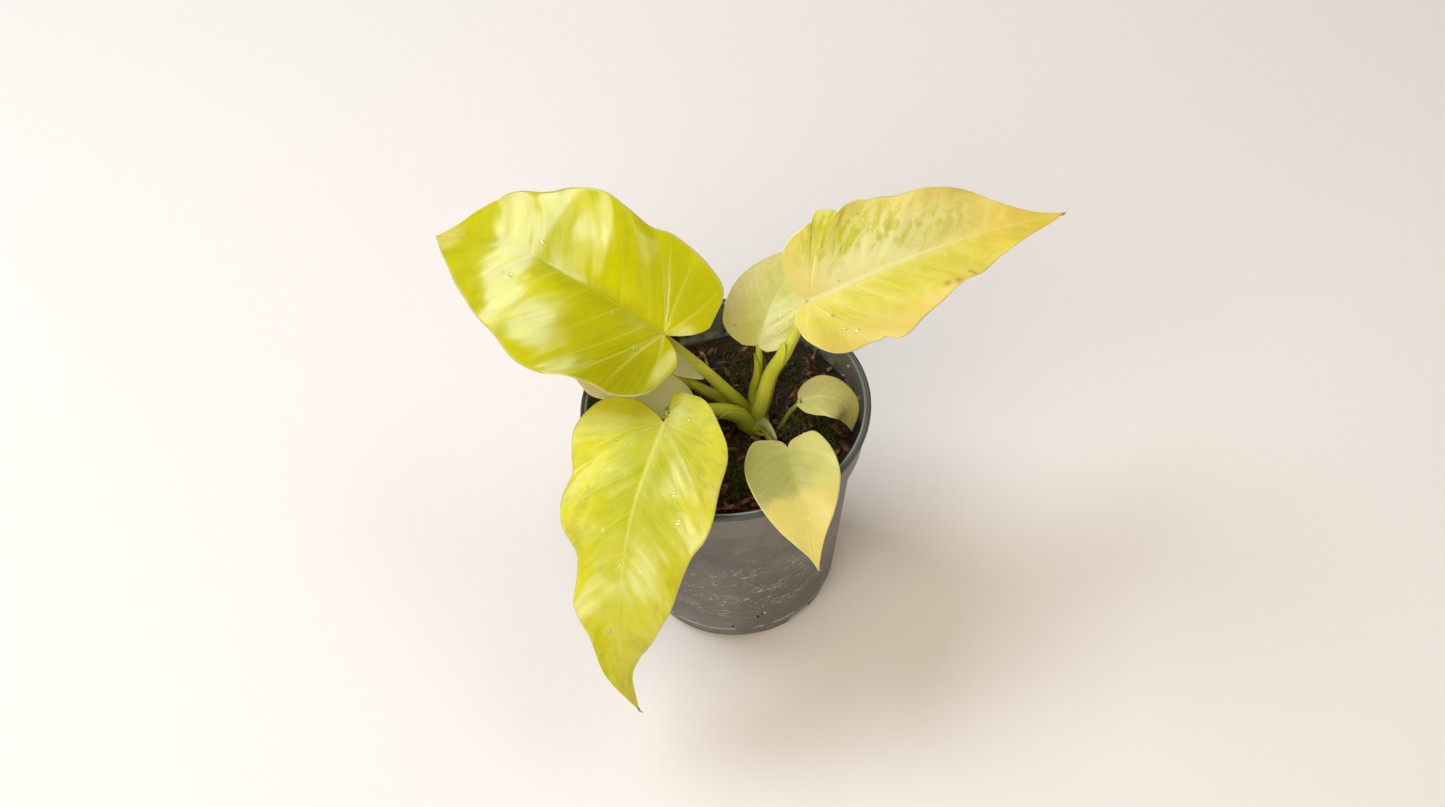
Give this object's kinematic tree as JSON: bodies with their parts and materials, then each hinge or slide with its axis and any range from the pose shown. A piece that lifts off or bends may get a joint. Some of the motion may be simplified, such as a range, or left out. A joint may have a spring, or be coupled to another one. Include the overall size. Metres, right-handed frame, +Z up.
{
  "type": "potted golden philodendron",
  "caption": "Young heart-leaved philodendron with lime and cream waved leaves on bare petioles, growing from a short crown in soil, in a thin grey nursery pot.",
  "frame": {"origin": "centre of the pot's flat underside, on the surface that the pot stands on", "axes": "+Z up along the pot's axis; the plant's front, where a leaf hangs over the rim, faces -Y; +X to the right of that view, along the plant's widest spread"},
  "size_m": [0.2626, 0.1807, 0.1804],
  "materials": {
    "pot_plastic": "satin",
    "soil": "matte",
    "stem": "satin",
    "lime_leaf": "satin",
    "gold_leaf": "satin",
    "cream_leaf": "satin",
    "pale_leaf": "satin",
    "olive_leaf": "satin"
  },
  "bodies": {
    "root": {"pot": "pot_plastic", "soil": "soil", "stem": "stem", "side_petiole": "stem", "leaf_left": "lime_leaf", "leaf_front": "gold_leaf", "leaf_right": "cream_leaf", "leaf_back": "pale_leaf", "leaf_side": "olive_leaf", "leaf_heart": "olive_leaf", "leaf_low": "olive_leaf"}
  },
  "joints": []
}
